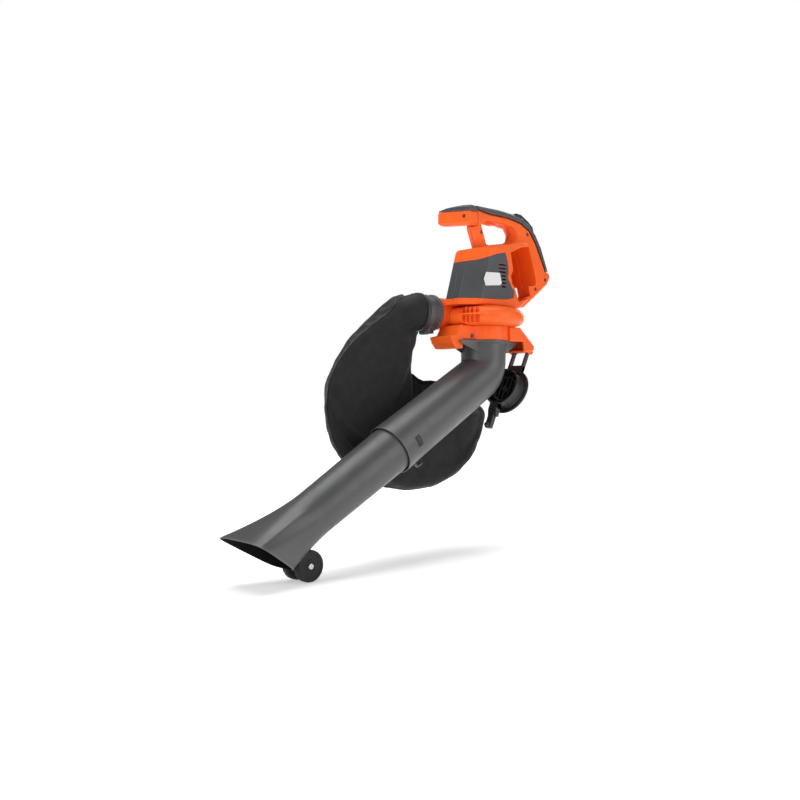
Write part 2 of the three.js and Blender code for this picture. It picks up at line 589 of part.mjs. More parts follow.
// A gusseted ear that hooks the tube's flange to the base, at the front (-1) or the rear (1).
function tubeEar(y, end) {
  const forward = y < 0 ? -106 : -88;
  const reach = end < 0 ? forward : 84;
  const outline = [
    [end * 40, TUBE.top], [reach, TUBE.top - 2], [reach, TUBE.top - 9], [end * 45, TUBE.top - 30],
  ];
  return solid(side(outline, y - 2, y + 2));
}

function lockBody(halfWidth, halfLength, from, to) {
  return solid(laid(block(-halfWidth, halfWidth, -to, -from, LOCK.at - halfLength, LOCK.at + halfLength)));
}

// The nozzle's mouth as points round its rim, numbered like the tube's section.
function mouthRim(inset, count) {
  const tilt = THREE.MathUtils.degToRad(MOUTH.tilt);
  const rim = [];
  for (let i = 0; i < count; i++) {
    const angle = (i * 2 * Math.PI) / count;
    const soft = (v) => Math.sign(v) * Math.abs(v) ** MOUTH.square;
    const [u, w] = [soft(Math.cos(angle)), soft(Math.sin(angle))];
    const half = MOUTH.backHalf + ((MOUTH.frontHalf - MOUTH.backHalf) * (1 + u)) / 2 - inset;
    const bulge = u > 0 ? MOUTH.bulge * u * (1 - w * w) : 0;
    const forward = MOUTH.length / 2 + (MOUTH.length / 2 - inset) * u + bulge;
    const [ahead, up] = [forward * Math.cos(tilt), forward * Math.sin(tilt)];
    rim.push(new THREE.Vector3(MOUTH.backX - ahead, half * w, MOUTH.backZ + up));
  }
  return rim;
}

// The flared nozzle: tube sections that open into the mouth's rim.
function nozzleForm(inset, beyond) {
  const [count, steps] = [24, 6];
  const rim = mouthRim(inset, count);
  const rings = [];
  for (let k = 0; k <= steps + (beyond ? 1 : 0); k++) {
    const t = k / steps;
    rings.push(
      rim.map((edge, i) => {
        const angle = (i * 2 * Math.PI) / count;
        const r = LOWER.flareR - inset;
        const start = alongTube(LOWER.flareStart, r * Math.cos(angle), r * Math.sin(angle));
        const reach = edge.clone().sub(start);
        const length = reach.dot(AXIS);
        const spread = reach.addScaledVector(AXIS, -length);
        return start.addScaledVector(AXIS, length * t).addScaledVector(spread, t ** 1.7);
      }),
    );
  }
  return solid(lofted(rings));
}

function buildLowerTube() {
  const { start, r, flareStart, flareR } = LOWER;
  const pipe = [
    [0, start], [55.6, start], [55.6, start + 7], [r, start + 9], [flareR, flareStart + 0.2],
    [0, flareStart + 0.2],
  ];
  const hollow = [
    [0, start - 5], [r - WALL, start - 5], [flareR - WALL, flareStart + 0.5], [0, flareStart + 0.5],
  ];
  const outside = join(solid(laid(turned(pipe))), nozzleForm(0, false));
  const inside = join(solid(laid(turned(hollow))), nozzleForm(WALL, true));
  const arch = solid(rodY(WHEEL.x, WHEEL.z, -WHEEL.outer - 5, WHEEL.outer + 5, ARCH_R + WALL, 28));
  const well = solid(rodY(WHEEL.x, WHEEL.z, -WHEEL.outer - 2, WHEEL.outer + 2, ARCH_R, 28));
  const lockHole = lockBody(LOCK.half + 0.7, LOCK.length / 2 + 0.7, 40, 70);
  add("lower_tube", cut(join(cut(outside, inside), meet(arch, outside)), well, lockHole), "charcoal");
}

// ---------------------------------------------------------------- wheels
function buildWheels() {
  const { x, z, r, inner, outer, axle, hubCap } = WHEEL;
  const stem = solid(side([[x - 10, z], [x - 9, z + 31], [x + 19, z + 26], [x + 12, z]], -9.5, 9.5));
  const plate = join(solid(rodY(x, z, -9.5, 9.5, 13, 24)), stem);
  const bracket = meet(plate, solid(rodY(x, z, -20, 20, ARCH_R - GAP, 28)));
  add("wheel_bracket", cut(bracket, solid(rodY(x, z, -20, 20, axle + GAP))), "black");
  add("wheel_axle", solid(rodY(x, z, -outer + 2.2, outer - 2.2, axle)), "steel");
  for (const [sideName, sign] of [["left", -1], ["right", 1]]) {
    const tread = [
      [axle + GAP, -9], [r - 4, -9], [r, -6], [r, 6], [r - 3, 9], [12, 9], [11, 7], [axle + GAP, 7],
    ];
    const wheel = turned(tread, 24).rotateX((sign * -Math.PI) / 2);
    wheel.translate(x, (sign * (inner + outer)) / 2, z);
    add(`${sideName}_wheel`, solid(wheel), "rubber");
    const cap = turned([[0, 0], [hubCap, 0], [hubCap, 1.2], [4, 3], [0, 3]], 12);
    cap.rotateX((sign * -Math.PI) / 2).translate(x, sign * (outer - 1.7), z);
    add(`${sideName}_hub_cap`, solid(cap), "steel");
  }
}

// ---------------------------------------------------------------- bag and its coupler
function buildCoupler() {
  const rib = (x0, x1, r) => solid(rodX(DUCT.y, DUCT.z, x0, x1, r, 28));
  const sleeve = join(rib(-155, -117, 41.5), rib(-120, -117, 43.5));
  const passage = join(rib(-160, -110, 35), rib(-117 - 8, -110, DUCT.r + GAP));
  const latchSeat = solid(block(-146, -126, DUCT.y - 12, DUCT.y + 12, 522, 534.5));
  const ears = [-16, 12.3].map((y) => solid(block(-143, -133, DUCT.y + y, DUCT.y + y + 3.7, 525, 536)));
  const pinBore = solid(rodY(LATCH.x, LATCH.z, 30, 90, 1.8, 12));
  const coupler = cut(join(cut(sleeve, latchSeat), ...ears), passage, pinBore);
  add("bag_coupler", coupler, "darkGrey");
  const lever = [[-147, 520], [-118.5, 522], [-118.5, 527], [-126.5, 529], [-127, 533.5], [-145, 533.5]];
  add("coupler_latch", cut(solid(side(lever, DUCT.y - 11, DUCT.y + 11, 1)), pinBore), "darkGrey");
  add("coupler_latch_pin", solid(rodY(LATCH.x, LATCH.z, DUCT.y - 15.5, DUCT.y + 15.5, 1.5, 12)), "steel");
  add("bag_clamp", cut(rib(-166, -160, 45), rib(-170, -155, 43 + GAP)), "black");
}

const BAG_OUTLINE = [
  [-172, 619], [-212, 613], [-253, 588], [-313, 530], [-353, 485], [-381, 447], [-403, 391], [-406, 350],
  [-398, 310], [-381, 265], [-345, 215], [-290, 178], [-168, 149], [-85, 152], [7, 185], [69, 242],
  [103, 313],
  [103, 345], [70, 385], [0, 408], [-70, 413], [-115, 420], [-150, 450], [-172, 500],
];

function buildBag() {
  const sack = solid(side(BAG_OUTLINE, BAG.near, BAG.far, 12));
  const neck = solid(rodX(DUCT.y, DUCT.z, -215, BAG.mouth, 43));
  add("collecting_bag", join(sack, neck), "fabric");
  const tape = block(ZIP.x - 7, ZIP.x + 7, BAG.far + GAP, BAG.far + 1.8, ZIP.bottom, ZIP.top);
  add("bag_zipper", solid(tape), "black");
  const slider = block(ZIP.x - 4, ZIP.x + 4, BAG.far + 1.8 + GAP, BAG.far + 5, ZIP.top - ZIP.slider, ZIP.top);
  add("zip_slider", solid(slider), "steel");
}

// ---------------------------------------------------------------- inlet cover, hanging open behind the tube
function buildInletCover() {
  const cover = new THREE.Group();
  cover.position.set(COVER.x, 0, COVER.z);
  cover.rotation.y = THREE.MathUtils.degToRad(COVER.tilt);
  machine.add(cover);
  const facing = (geometry) => geometry.rotateY(-Math.PI / 2).translate(0, 0, -COVER.drop);
  const cup = [
    [0, 0], [COVER.rim, 0], [COVER.rim, 5], [COVER.r, 7], [COVER.r, COVER.depth],
    [COVER.r - WALL, COVER.depth], [COVER.r - WALL, 5], [0, 5],
  ];
  const arms = [-24, 18].map((y) => solid(block(-8, 3, y, y + 6, -COVER.drop + 45, 4)));
  const bridge = solid(block(-8, 3, -24, 24, -COVER.drop + 49, -COVER.drop + 70));
  const tongue = solid(block(-40, -24, -13, 13, -COVER.drop - 80, -COVER.drop - 44.5));
  const eyes = [-24, 18].map((y) => solid(rodY(0, 0, y, y + 6, 7, 18)));
  const pinBore = solid(rodY(0, 0, -40, 40, 2.8, 12));
  const latchBore = solid(block(-50, -15, -9.3, 9.3, -COVER.drop - 95, -COVER.drop - 62));
  const body = cut(join(solid(facing(turned(cup))), ...arms, bridge, tongue, ...eyes), pinBore, latchBore);
  add("inlet_cover", body, "black", cover);
  const ribs = [-28, -14, 0, 14, 28].map((y) => {
    const reach = Math.sqrt(39 ** 2 - y ** 2);
    return solid(block(-19, -8.5, y - 1.5, y + 1.5, -COVER.drop - reach, -COVER.drop + reach));
  });
  const hub = solid(facing(ring(30, 34, 8.5, 20, 24)));
  add("cover_grille", join(hub, ...ribs), "black", cover);
  add("cover_hinge_pin", solid(rodY(0, 0, -30, 30, 2.4, 14)), "steel", cover);
  const catchBody = solid(block(-38, -26, -8.8, 8.8, -COVER.drop - 112, -COVER.drop - 63));
  const catchTooth = solid(block(-44, -37, -6, 6, -COVER.drop - 110, -COVER.drop - 102));
  add("cover_catch", join(catchBody, catchTooth), "black", cover);
}

// ---------------------------------------------------------------- bag strap ring and hook on the tube
function buildHook() {
  const hook = [
    [0, 0], [0, 12], [-12, 12], [-20, 8], [-20, -8], [-16, -8], [-16, 5], [-12, 8], [-5, 8], [-5, 0],
  ];
  const outline = hook.map(([rise, along]) => [HOOK.rise + rise, HOOK.at + along]);
  add("strap_hook", solid(laid(side(outline, -4, 4))), "darkGrey");
}

buildShells();
buildCovers();
buildGripCap();
buildFrontHandle();
buildTrigger();
buildElectronics();
buildMotor();
buildImpeller();
buildFanHousing();
buildInletBase();
buildUpperTube();
buildLowerTube();
buildWheels();
buildCoupler();
buildBag();
buildInletCover();
buildHook();

const group = new THREE.Group();
group.add(machine);
export default group;
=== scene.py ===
import json
import math

import bmesh
import bpy
import numpy as np
from mathutils import Matrix, Vector


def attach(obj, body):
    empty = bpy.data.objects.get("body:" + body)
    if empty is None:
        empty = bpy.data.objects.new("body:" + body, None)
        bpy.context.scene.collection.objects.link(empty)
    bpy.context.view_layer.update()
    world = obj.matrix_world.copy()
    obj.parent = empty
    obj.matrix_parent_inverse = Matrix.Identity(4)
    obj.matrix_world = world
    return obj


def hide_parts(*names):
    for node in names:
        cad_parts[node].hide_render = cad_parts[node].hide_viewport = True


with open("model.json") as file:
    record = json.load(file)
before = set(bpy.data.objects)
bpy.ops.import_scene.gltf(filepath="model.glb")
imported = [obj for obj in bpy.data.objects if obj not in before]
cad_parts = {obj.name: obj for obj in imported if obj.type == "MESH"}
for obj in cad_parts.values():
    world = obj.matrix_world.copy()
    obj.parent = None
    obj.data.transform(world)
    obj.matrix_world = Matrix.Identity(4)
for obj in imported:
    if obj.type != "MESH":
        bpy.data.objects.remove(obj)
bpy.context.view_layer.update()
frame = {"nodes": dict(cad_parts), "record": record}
NODES = frame["nodes"]

# ---------------------------------------------------------------- places
# Shapes are written in millimetres in the machine's own frame: fan axis at X = Y = 0, ground at Z = 0,
# suction tube forward along -X. The row frame has the hand grip's middle as its origin, in metres.
GRIP_X, GRIP_Z = 28, 803
FLOOR_Z = -GRIP_Z / 1000
TAU = 2 * math.pi


def row(p):
    return Vector(((p[0] - GRIP_X) / 1000, p[1] / 1000, (p[2] - GRIP_Z) / 1000))


def design(p):
    """The same point back in millimetres in the machine's own frame."""
    return p * 1000 + Vector((GRIP_X, 0, GRIP_Z))


def smooth_steps(t):
    """0 below 0, 1 above 1 and a smooth step between, for a number or an array."""
    t = np.clip(t, 0, 1)
    return t * t * (3 - 2 * t)


def polar(r, degrees):
    return r * math.cos(math.radians(degrees)), r * math.sin(math.radians(degrees))


# ---------------------------------------------------------------- materials
class Graph:
    """A material's node tree with short ways to add and join nodes."""

    def __init__(self, name):
        self.material = bpy.data.materials.new(name)
        self.material.use_nodes = True
        self.tree = self.material.node_tree
        self.shader = self.tree.nodes["Principled BSDF"]
        self.place = self.node("ShaderNodeTexCoord").outputs["Object"]

    def node(self, kind, **settings):
        made = self.tree.nodes.new(kind)
        for key, value in settings.items():
            setattr(made, key, value)
        return made

    def join(self, out, into):
        self.tree.links.new(out, into)

    def noise(self, scale, detail=4, stretch=None):
        made = self.node("ShaderNodeTexNoise")
        made.inputs["Scale"].default_value = scale
        made.inputs["Detail"].default_value = detail
        place = self.place
        if stretch:
            mapping = self.node("ShaderNodeMapping")
            mapping.inputs["Scale"].default_value = stretch
            self.join(self.place, mapping.inputs["Vector"])
            place = mapping.outputs["Vector"]
        self.join(place, made.inputs["Vector"])
        return made.outputs["Fac"]

    def ranged(self, value, low, high, start=0.3, end=0.7):
        made = self.node("ShaderNodeMapRange")
        for key, v in (("From Min", start), ("From Max", end), ("To Min", low), ("To Max", high)):
            made.inputs[key].default_value = v
        self.join(value, made.inputs["Value"])
        return made.outputs["Result"]

    def mixed(self, factor, a, b):
        made = self.node("ShaderNodeMix", data_type="RGBA")
        for socket, value in ((made.inputs["A"], a), (made.inputs["B"], b)):
            if isinstance(value, tuple):
                socket.default_value = (*value, 1)
            else:
                self.join(value, socket)
        self.join(factor, made.inputs["Factor"])
        return made.outputs["Result"]

    def bump(self, height, strength, distance, under=None):
        made = self.node("ShaderNodeBump")
        made.inputs["Strength"].default_value = strength
        made.inputs["Distance"].default_value = distance
        self.join(height, made.inputs["Height"])
        if under:
            self.join(under, made.inputs["Normal"])
        return made.outputs["Normal"]

    def edges(self, low=0.505, high=0.56):
        """1 on convex edges, 0 elsewhere."""
        geometry = self.node("ShaderNodeNewGeometry")
        return self.ranged(geometry.outputs["Pointiness"], 0, 1, low, high)


def tinted(color, k):
    return tuple(min(1.0, c * k) for c in color)


def moulded(name, color, rough, grain=1400, depth=0.00008, wear=1.35, specular=0.5, coat=0.0):
    """Moulded plastic or rubber: fine spark-eroded grain, patchy gloss, slightly paler rubbed edges."""
    g = Graph(name)
    patches = g.noise(14, 5)
    colour = g.mixed(g.ranged(patches, 0, 1), tinted(color, 0.94), tinted(color, 1.06))
    worn = g.mixed(g.edges(), colour, tinted(color, wear))
    g.join(worn, g.shader.inputs["Base Color"])
    smears = g.noise(46, 6, (1, 1.6, 0.5))
    g.join(g.ranged(smears, rough - 0.05, rough + 0.07), g.shader.inputs["Roughness"])
    g.join(g.bump(g.noise(grain, 2), 0.35, depth), g.shader.inputs["Normal"])
    g.shader.inputs["Specular IOR Level"].default_value = specular
    g.shader.inputs["Coat Weight"].default_value = coat
    return g.material


def metal(name, color, rough):
    """Turned or drawn metal with fine streaks."""
    g = Graph(name)
    streaks = g.noise(160, 6, (1, 14, 1))
    base = g.mixed(g.ranged(streaks, 0, 1), tinted(color, 0.82), tinted(color, 1.08))
    g.join(base, g.shader.inputs["Base Color"])
    g.join(g.ranged(streaks, rough - 0.08, rough + 0.14), g.shader.inputs["Roughness"])
    g.join(g.bump(streaks, 0.2, 0.00005), g.shader.inputs["Normal"])
    g.shader.inputs["Metallic"].default_value = 1
    return g.material


def woven(name, color, pitch):
    """Plain woven polyester: two crossing sets of threads laid by the piece's UV, in metres."""
    g = Graph(name)
    uv = g.node("ShaderNodeTexCoord").outputs["UV"]
    threads = []
    for direction in ("X", "Y"):
        wave = g.node("ShaderNodeTexWave", wave_type="BANDS", bands_direction=direction, wave_profile="SIN")
        wave.inputs["Scale"].default_value = 0.314 / pitch
        wave.inputs["Distortion"].default_value = 0.4
        wave.inputs["Detail"].default_value = 1
        g.join(uv, wave.inputs["Vector"])
        threads.append(wave.outputs["Fac"])
    both = g.node("ShaderNodeMath", operation="MULTIPLY")
    g.join(threads[0], both.inputs[0])
    g.join(threads[1], both.inputs[1])
    cloudy = g.ranged(g.noise(9, 6), 0, 1)
    base = g.mixed(cloudy, tinted(color, 0.8), tinted(color, 1.25))
    lit = g.mixed(both.outputs[0], tinted(color, 0.7), base)
    g.join(lit, g.shader.inputs["Base Color"])
    g.join(g.ranged(g.noise(40, 4), 0.74, 0.92), g.shader.inputs["Roughness"])
    creases = g.bump(g.noise(22, 5, (1, 1, 0.6)), 0.35, 0.0022)
    g.join(g.bump(both.outputs[0], 0.5, 0.00025, creases), g.shader.inputs["Normal"])
    g.shader.inputs["Sheen Weight"].default_value = 0.12
    g.shader.inputs["Sheen Roughness"].default_value = 0.45
    g.shader.inputs["Specular IOR Level"].default_value = 0.35
    return g.material


ORANGE = (0.84, 0.115, 0.011)
MATERIALS = {
    "orange_plastic": moulded("orange_moulding", ORANGE, 0.42, wear=1.12, specular=0.28),
    "grey_plastic": moulded("grey_moulding", (0.052, 0.055, 0.06), 0.4, wear=1.6),
    "charcoal_plastic": moulded("charcoal_moulding", (0.066, 0.067, 0.069), 0.37, grain=900, wear=1.4),
    "black_plastic": moulded("black_moulding", (0.016, 0.0165, 0.017), 0.42, wear=1.9),
    "soft_rubber": moulded("tyre_rubber", (0.013, 0.013, 0.014), 0.62, 700, 0.0002, wear=1.7, specular=0.35),
    "bag_fabric": woven("bag_weave", (0.0135, 0.0135, 0.014), 0.0011),
    "label": moulded("label_film", (0.74, 0.75, 0.75), 0.3, grain=2200, wear=1.0, coat=0.3),
    "steel": metal("zinc_steel", (0.62, 0.63, 0.65), 0.3),
    "copper": metal("winding_copper", (0.75, 0.33, 0.16), 0.35),
    "board": moulded("lacquered_board", (0.02, 0.12, 0.055), 0.35, wear=1.2, coat=0.4),
}


def finished(obj, slot, body="machine", stands_for=()):
    """A new piece gets the material of its slot and its body, and the CAD nodes that it stands for are
    hidden.
    """
    obj.data.materials.clear()
    obj.data.materials.append(MATERIALS[slot])
    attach(obj, body)
    if stands_for:
        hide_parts(*stands_for)
    return obj


# ---------------------------------------------------------------- mesh tools
def mesh_object(name, vertices, faces, sharp=None):
    mesh = bpy.data.meshes.new(name)
    mesh.from_pydata([row(v) for v in vertices], [], faces)
    obj = bpy.data.objects.new(name, mesh)
    bpy.context.scene.collection.objects.link(obj)
    bm = bmesh.new()
    bm.from_mesh(mesh)
    bmesh.ops.remove_doubles(bm, verts=bm.verts, dist=1e-6)
    bmesh.ops.recalc_face_normals(bm, faces=bm.faces)
    bm.to_mesh(mesh)
    bm.free()
    mesh.shade_smooth()
    if sharp:
        mesh.set_sharp_from_angle(angle=math.radians(sharp))
    return obj


def settled(obj):
    """obj with its modifiers applied."""
    graph = bpy.context.evaluated_depsgraph_get()
    mesh = bpy.data.meshes.new_from_object(obj.evaluated_get(graph))
    obj.modifiers.clear()
    obj.data = mesh
    return obj


def combined(operation, first, *others):
    for other in others:
        tool = first.modifiers.new("combine", "BOOLEAN")
        tool.operation = operation
        tool.solver = "MANIFOLD"
        tool.object = other
        settled(first)
        bpy.data.objects.remove(other)
    return first


def cut(first, *others):
    return combined("DIFFERENCE", first, *others)


def joined(first, *others):
    return combined("UNION", first, *others)


def melted(obj, voxel, passes, factor=0.5):
    """Soft moulded edges and fillets: a fine voxel skin that is then relaxed."""
    remesh = obj.modifiers.new("skin", "REMESH")
    remesh.mode = "VOXEL"
    remesh.voxel_size = voxel / 1000
    remesh.use_smooth_shade = True
    relax = obj.modifiers.new("relax", "SMOOTH")
    relax.factor = factor
    relax.iterations = passes
    return obj


def rounded(points, radius, steps=4, loop=True):
    """A polygon with its corners rounded."""
    made = []
    for i, p in enumerate(points):
        here = Vector(p)
        if not loop and i in (0, len(points) - 1):
            made.append(here)
            continue
        before, after = Vector(points[i - 1]) - here, Vector(points[(i + 1) % len(points)]) - here
        r = min(radius, before.length * 0.48, after.length * 0.48)
        start, end = here + before.normalized() * r, here + after.normalized() * r
        for k in range(steps + 1):
            t = k / steps
            made.append(start * (1 - t) ** 2 + here * 2 * t * (1 - t) + end * t * t)
    return made


def divided(points, longest):
    """A closed polygon with its long edges divided."""
    made = []
    for i, p in enumerate(points):
        after = points[(i + 1) % len(points)]
        count = max(1, math.ceil((Vector(after) - Vector(p)).length / longest))
        made += [Vector(p).lerp(Vector(after), k / count) for k in range(count)]
    return made


def skinned(name, rings, loop=False, sharp=None):
    """A skin through rings of points, closed round on itself or capped at both ends."""
    n, m = len(rings[0]), len(rings)
    faces = []
    for k in range(m if loop else m - 1):
        a, b = k * n, ((k + 1) % m) * n
        faces += [(a + i, a + (i + 1) % n, b + (i + 1) % n, b + i) for i in range(n)]
    if not loop:
        faces += [tuple(range(n)), tuple((m - 1) * n + i for i in range(n))]
    return mesh_object(name, [p for r in rings for p in r], faces, sharp)


def circle(centre, u, v, r, n):
    return [centre + u * (r * math.cos(i * TAU / n)) + v * (r * math.sin(i * TAU / n)) for i in range(n)]


X, Y, Z = Vector((1, 0, 0)), Vector((0, 1, 0)), Vector((0, 0, 1))


def lathed(name, profile, origin, axis, n=96, sharp=32, soften=0.8):
    """A closed [radius, height] profile turned about an axis; a radius of 0 closes it on the axis."""
    u = Y if abs(axis.y) < 0.5 else Z
    u = (u - axis * u.dot(axis)).normalized()
    v = axis.cross(u)
    solid = profile[0][0] == 0
    points = rounded(profile, soften, 4, loop=not solid)
    if solid:
        points = [(max(p[0], 0.02), p[1]) for p in points]
    rings = [circle(Vector(origin) + axis * p[1], u, v, p[0], n) for p in points]
    return skinned(name, rings, loop=not solid, sharp=sharp)


def slab(name, outline, y0, y1, bevel=1.0, round_corners=1.5, place=lambda p: p, sharp=32, cross=False):
    """An outline in X and Z between two Y planes (or X and Y between two Z planes), with rounded edges."""
    shape = rounded(outline, round_corners, 3)
    n = len(shape)
    at = (lambda p, w: (p[0], p[1], w)) if cross else (lambda p, w: (p[0], w, p[1]))
    points = [place(Vector(at(p, w))) for w in (y0, y1) for p in shape]
    faces = [tuple(range(n)), tuple(range(n, 2 * n))[::-1]]
    faces += [(i, (i + 1) % n, n + (i + 1) % n, n + i) for i in range(n)]
    obj = mesh_object(name, points, faces)
    if bevel:
        tool = obj.modifiers.new("edge", "BEVEL")
        tool.width = bevel / 1000
        tool.segments = 3
        tool.limit_method = "ANGLE"
        tool.angle_limit = math.radians(50)
        settled(obj)
    obj.data.shade_smooth()
    obj.data.set_sharp_from_angle(angle=math.radians(sharp))
    return obj


def box(name, x0, x1, y0, y1, z0, z1, bevel=0.8, place=lambda p: p):
    return slab(name, [(x0, z0), (x1, z0), (x1, z1), (x0, z1)], y0, y1, bevel, 0.6, place)


def merged(name, *objects):
    """Several closed meshes kept together as one piece."""
    bm = bmesh.new()
    for o in objects:
        bm.from_mesh(o.data)
        bpy.data.objects.remove(o)
    mesh = bpy.data.meshes.new(name)
    bm.to_mesh(mesh)
    bm.free()
    mesh.shade_smooth()
    mesh.set_sharp_from_angle(angle=math.radians(32))
    obj = bpy.data.objects.new(name, mesh)
    bpy.context.scene.collection.objects.link(obj)
    return obj


# ---------------------------------------------------------------- suction tubes
SLOPE = math.radians(30.2)
BEND_R, CORNER_Z, TUBE_TOP = 55, 430, 506.7
AXIS = Vector((-math.cos(SLOPE), 0, -math.sin(SLOPE)))
RISE = Vector((-math.sin(SLOPE), 0, math.cos(SLOPE)))
REACH = BEND_R * math.tan((math.pi / 2 - SLOPE) / 2)
BEND_LENGTH = BEND_R * (math.pi / 2 - SLOPE)
DROP = TUBE_TOP - CORNER_Z - REACH  # the straight collar above the bend


def along(s, rise=0.0, y=0.0):
    """A point by its place along the sloping axis from the bend's corner."""
    return Vector((0, 0, CORNER_Z)) + AXIS * s + RISE * rise + Y * y


def tube_station(t):
    """Centre and rise direction at a length t down the tube from its top."""
    if t < DROP:
        return Vector((0, 0, TUBE_TOP - t)), Vector((-1, 0, 0))
    angle = min((t - DROP) / BEND_R, math.pi / 2 - SLOPE)
    centre = Vector((-BEND_R * (1 - math.cos(angle)), 0, CORNER_Z + REACH - BEND_R * math.sin(angle)))
    beyond = max(0.0, t - DROP - BEND_LENGTH)
    rise = Vector((-math.cos(angle), 0, math.sin(angle)))
    return centre + AXIS * beyond, rise


LOCK_AT, LOCK_HALF_LENGTH, LOCK_HALF_WIDTH = 306, 6.3, 12.3
LOCK_SPARE = 0.6  # room round the lock pad in its window


def on_lock(p):
    return along(LOCK_AT + p.x, p.z, p.y)


def lock_outline(spare):
    a, b = LOCK_HALF_LENGTH + spare, LOCK_HALF_WIDTH + spare
    return [(-a, -b), (a, -b), (a, b), (-a, b)]


def upper_tube():
    slope_at = DROP + BEND_LENGTH - REACH  # added to a place along the slope it gives a length down the tube
    end = 348.9 + slope_at
    profile = [
        (0, 50.5), (0, 61), (6, 61), (6.5, 54.1), (DROP, 53.5), (300 + slope_at, 57), (end, 58.4),
        (end, 56.4), (286 + slope_at, 56), (282 + slope_at, 50.5),
    ]
    profile = divided(rounded(profile, 1.2, 4), 7)
    rings = []
    for t, r in profile:
        centre, rise = tube_station(t)
        rings.append(circle(centre, rise, Y, r, 128))
    tube = skinned("suction_tube_upper", rings, loop=True)
    tube = cut(tube, slab("window", lock_outline(LOCK_SPARE), -66, -50, 0, 1, on_lock))
    tube.data.shade_smooth()
    tube.data.set_sharp_from_angle(angle=math.radians(40))
    pieces = [tube]
    for y in (-28, 28):
        for end_sign in (-1, 1):
            forward = -106 if y < 0 else -88
            reach = forward if end_sign < 0 else 84
            ear = [(end_sign * 40, TUBE_TOP), (reach, TUBE_TOP - 2), (reach, TUBE_TOP - 9)]
            ear.append((end_sign * 45, TUBE_TOP - 30))
            pieces.append(slab("ear", ear, y - 2, y + 2, 0.7, 2))
    for y in (-28, 28):
        pieces.append(slab("bead", [(44, 506.4), (84, 505), (84, 501), (44, 502)], y - 3.4, y + 3.4, 0.8, 1))
    return finished(merged("suction_tube_upper", *pieces), "charcoal_plastic", stands_for=["upper_tube"])


MOUTH = {"back": (-580, 30), "tilt": math.radians(31), "length": 130, "back_half": 46, "front_half": 84}
FLARE_START, FLARE_R, MOUTH_BULGE, SQUARE = 590, 48.5, 4, 0.42
WALL = 2.6
WHEEL_X, WHEEL_Z, WHEEL_R = -535, 32.6, 32.5
WHEEL_Y, HUB_Y = 20, 27.3  # how far each wheel's middle and its hub cap stand from the tube's mid plane
RIDGE = {"angle": 0.86, "width": 0.16, "height": 3.4, "from": 0.1, "full": 0.42}


def mouth_rim(inset, n):
    rim = []
    for i in range(n):
        angle = i * TAU / n
        u, w = (math.copysign(abs(v) ** SQUARE, v) for v in (math.cos(angle), math.sin(angle)))
        half = MOUTH["back_half"] + (MOUTH["front_half"] - MOUTH["back_half"]) * (1 + u) / 2 - inset
        middle = MOUTH["length"] / 2
        forward = middle + (middle - inset) * u + (MOUTH_BULGE * u * (1 - w * w) if u > 0 else 0)
        x = MOUTH["back"][0] - forward * math.cos(MOUTH["tilt"])
        z = MOUTH["back"][1] + forward * math.sin(MOUTH["tilt"])
        rim.append(Vector((x, half * w, z)))
    return rim


def nozzle_ring(t, inset, n):
    """The flared nozzle's section at t from 0, a circle, to 1, the mouth's rim."""
    ring = []
    for i, edge in enumerate(mouth_rim(inset, n)):
        angle = i * TAU / n
        r = FLARE_R - inset
        start = along(FLARE_START, r * math.cos(angle), r * math.sin(angle))
        reach = edge - start
        length = reach.dot(AXIS)
        spread = reach - AXIS * length
        p = start + AXIS * (length * t) + spread * t**1.7
        if inset == 0:
            off = abs(abs(angle - math.pi) - (math.pi - RIDGE["angle"]))
            lift = math.exp(-((off / RIDGE["width"]) ** 2)) * RIDGE["height"]
            grown = smooth_steps((t - RIDGE["from"]) / (RIDGE["full"] - RIDGE["from"]))
            lift *= float(grown) * (1 - 0.5 * t)
            out = (RISE * math.cos(angle) + Y * math.sin(angle)).normalized()
            p += out * lift
        ring.append(p)
    return ring


def painted_shade_bore(tube):
    """Painted shade: a near-black colour, chosen to match the photo's dark mouth, on the faces towards the
    tube's axis.
    """
    bore_shade = moulded("painted_shade_bore", (0.007, 0.007, 0.007), 0.7, wear=1.0, specular=0.15)
    tube.data.materials.append(bore_shade)
    for face in tube.data.polygons:
        out = design(face.center) - along(0)
        out -= AXIS * out.dot(AXIS)
        if face.normal.dot(out) < 0:
            face.material_index = 1
    return tube


